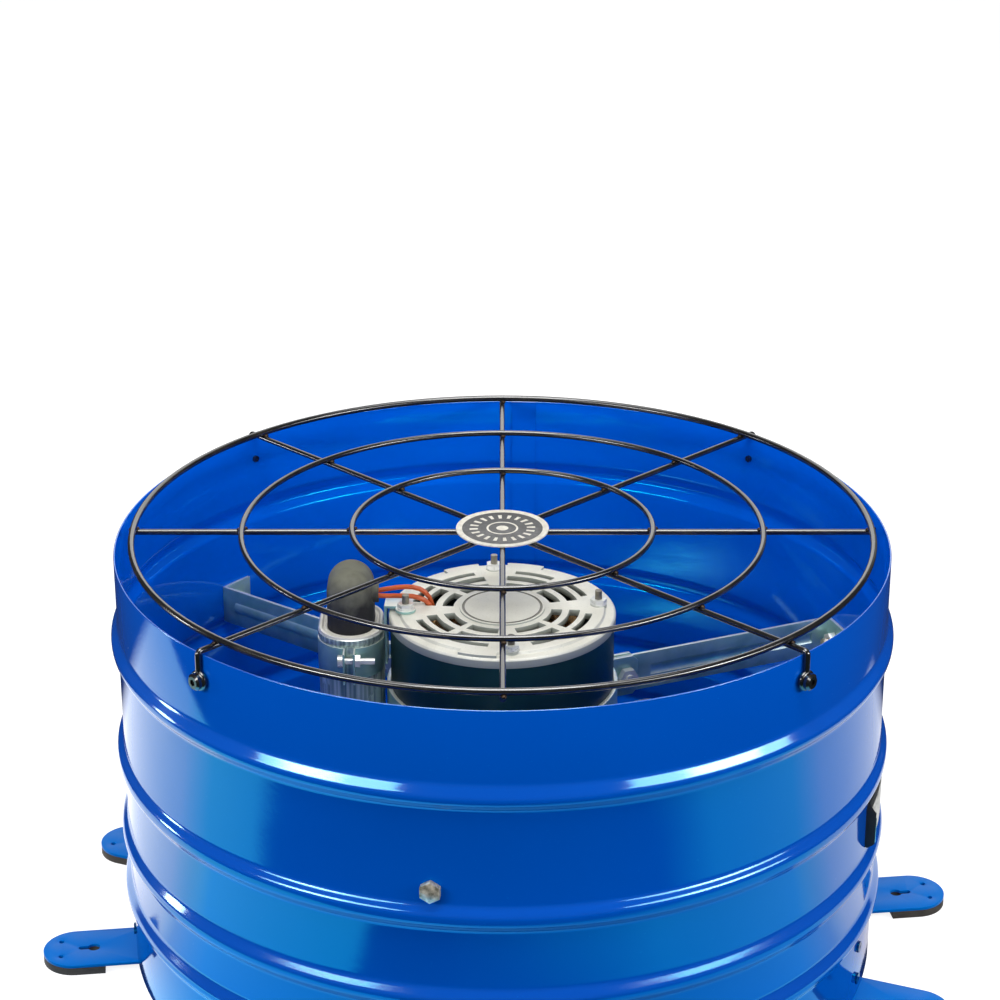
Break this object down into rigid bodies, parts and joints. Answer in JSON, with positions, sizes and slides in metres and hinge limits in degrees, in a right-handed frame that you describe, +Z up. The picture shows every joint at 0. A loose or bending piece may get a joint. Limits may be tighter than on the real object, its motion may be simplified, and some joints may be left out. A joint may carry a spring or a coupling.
{
  "type": "attic fan",
  "caption": "Round attic fan with a beaded sheet-steel housing on padded brackets, an inner motor on struts, a bladed rotor and a wire guard.",
  "frame": {"origin": "on the fan's axis, at the plane of the pads' undersides", "axes": "+Z up along the fan's axis, towards the guard; +X along the line midway between the right-hand brackets"},
  "size_m": [0.5548, 0.4652, 0.2787],
  "materials": {
    "blue_paint": "gloss",
    "rivet_paint": "gloss",
    "pad_rubber": "matte",
    "motor_paint": "satin",
    "cast_aluminium": "cast",
    "lamination_steel": "satin",
    "copper_winding": "lacquered",
    "rotor_aluminium": "cast",
    "shaft_steel": "ground",
    "bearing_bronze": "sintered",
    "zinc_fastener": "zinc plated",
    "zinc_sheet": "zinc plated",
    "can_aluminium": "drawn, bright",
    "tinned_brass": "tinned",
    "boot_rubber": "matte",
    "lead_insulation": "satin",
    "hub_steel": "zinc plated",
    "blade_aluminium": "mill finish",
    "black_screw": "black oxide",
    "guard_wire": "gloss black",
    "disc_enamel": "satin"
  },
  "bodies": {
    "frame": {"housing_shell": "blue_paint", "bracket_right_rear": "blue_paint", "bracket_left_rear": "blue_paint", "bracket_left_front": "blue_paint", "bracket_right_front": "blue_paint", "pad_right_rear": "pad_rubber", "pad_left_rear": "pad_rubber", "pad_left_front": "pad_rubber", "pad_right_front": "pad_rubber", "bracket_rivets": "rivet_paint", "motor_shell": "motor_paint", "end_bell_top": "cast_aluminium", "end_bell_bottom": "cast_aluminium", "stator_core": "lamination_steel", "stator_windings": "copper_winding", "bearing_top": "bearing_bronze", "bearing_bottom": "bearing_bronze", "through_bolts": "zinc_fastener", "through_bolt_nuts": "zinc_fastener", "band_segment_1": "zinc_sheet", "band_segment_2": "zinc_sheet", "band_segment_3": "zinc_sheet", "arm_right": "zinc_sheet", "arm_left": "zinc_sheet", "arm_front": "zinc_sheet", "band_bolts": "zinc_fastener", "band_nuts": "zinc_fastener", "arm_bolts": "zinc_fastener", "arm_nuts": "zinc_fastener", "capacitor_can": "can_aluminium", "capacitor_terminals": "tinned_brass", "capacitor_boot": "boot_rubber", "capacitor_strap": "zinc_sheet", "strap_screw": "zinc_fastener", "capacitor_clip": "zinc_sheet", "capacitor_leads": "lead_insulation", "guard_ring_outer": "guard_wire", "guard_ring_middle": "guard_wire", "guard_ring_inner": "guard_wire", "guard_spokes": "guard_wire", "guard_legs": "guard_wire", "guard_disc": "disc_enamel", "guard_screws": "black_screw"},
    "rotor": {"motor_shaft": "shaft_steel", "rotor_core": "lamination_steel", "rotor_end_rings": "rotor_aluminium", "thrust_collars": "shaft_steel", "fan_hub": "hub_steel", "hub_set_screw": "black_screw", "blade_rivets": "zinc_fastener", "fan_blade_1": "blade_aluminium", "fan_blade_2": "blade_aluminium", "fan_blade_3": "blade_aluminium", "fan_blade_4": "blade_aluminium"}
  },
  "joints": [
    {"name": "fan_spin", "type": "hinge", "parent": "frame", "child": "rotor", "pos_m": [0, 0, 0.15], "axis": [0, 0, 1], "continuous": true}
  ]
}
